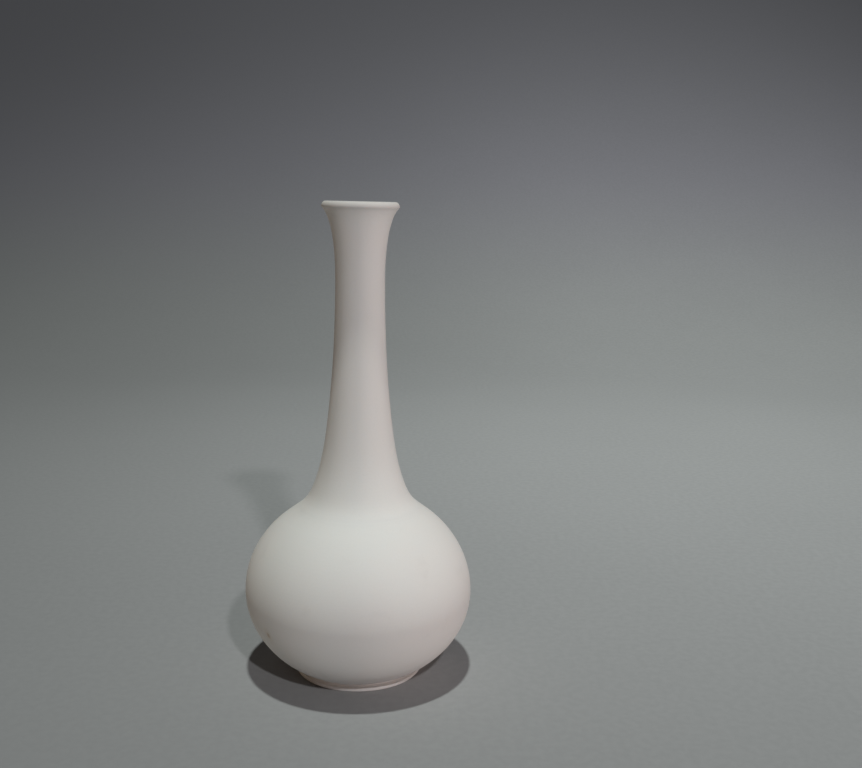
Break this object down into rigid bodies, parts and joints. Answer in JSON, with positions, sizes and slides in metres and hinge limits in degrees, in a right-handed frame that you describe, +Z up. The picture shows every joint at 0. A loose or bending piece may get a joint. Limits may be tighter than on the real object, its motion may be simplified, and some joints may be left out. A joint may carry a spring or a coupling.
{
  "type": "bud vase",
  "caption": "White unglazed porcelain bud vase with a round belly, a long slim neck, a flared mouth and a low foot ring, glazed inside.",
  "frame": {"origin": "centre of the foot ring's standing face", "axes": "+Z up along the axis of the vase; the vase is round about it, so X and Y are any two level directions"},
  "size_m": [0.0822, 0.0822, 0.17],
  "materials": {
    "bare_porcelain": "matte",
    "fired_slip": "matte",
    "liner_glaze": "gloss"
  },
  "bodies": {
    "root": {"foot_ring": "bare_porcelain", "foot_slip": "fired_slip", "belly": "bare_porcelain", "neck_slip": "fired_slip", "neck": "bare_porcelain", "liner_glaze": "liner_glaze"}
  },
  "joints": []
}
